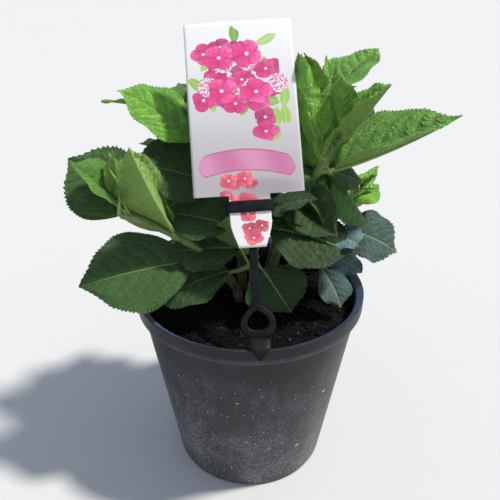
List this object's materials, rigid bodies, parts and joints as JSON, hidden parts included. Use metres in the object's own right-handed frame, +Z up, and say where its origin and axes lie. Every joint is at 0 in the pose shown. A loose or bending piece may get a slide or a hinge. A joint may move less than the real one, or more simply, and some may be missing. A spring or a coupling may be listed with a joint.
{
  "type": "potted hydrangea shrub",
  "caption": "Young hydrangea with broad toothed leaves on arching green shoots, growing in a round black nursery pot of compost with a plant label clipped to the rim.",
  "frame": {"origin": "middle of the pot's flat underside, on the surface that it stands on", "axes": "+Z up along the pot's axis, -Y towards the side of the rim where the label is clipped, +X to the right as the label faces the viewer"},
  "size_m": [0.3024, 0.2287, 0.3894],
  "materials": {
    "pot_plastic": "dusty black moulded plastic",
    "compost": "dark crumbly potting compost",
    "stem": "smooth green young bark",
    "leaves": "satin green leaf",
    "holder_plastic": "black moulded plastic",
    "label_card": "printed plastic card"
  },
  "bodies": {
    "root": {"pot": "pot_plastic", "compost": "compost", "left_stem": "stem", "right_stem": "stem", "low_stem": "stem", "centre_stem": "stem", "back_stem": "stem", "rear_stem": "stem", "left_lower_leaves": "leaves", "left_tip_leaves": "leaves", "right_lower_leaves": "leaves", "right_middle_leaves": "leaves", "right_tip_leaves": "leaves", "rear_leaves": "leaves", "low_shoot_lower_leaves": "leaves", "low_shoot_tip_leaves": "leaves", "centre_lower_leaves": "leaves", "centre_upper_leaves": "leaves", "back_hanging_leaves": "leaves", "back_lower_leaves": "leaves", "back_top_leaves": "leaves", "label_holder": "holder_plastic", "label_card": "label_card"}
  },
  "joints": []
}
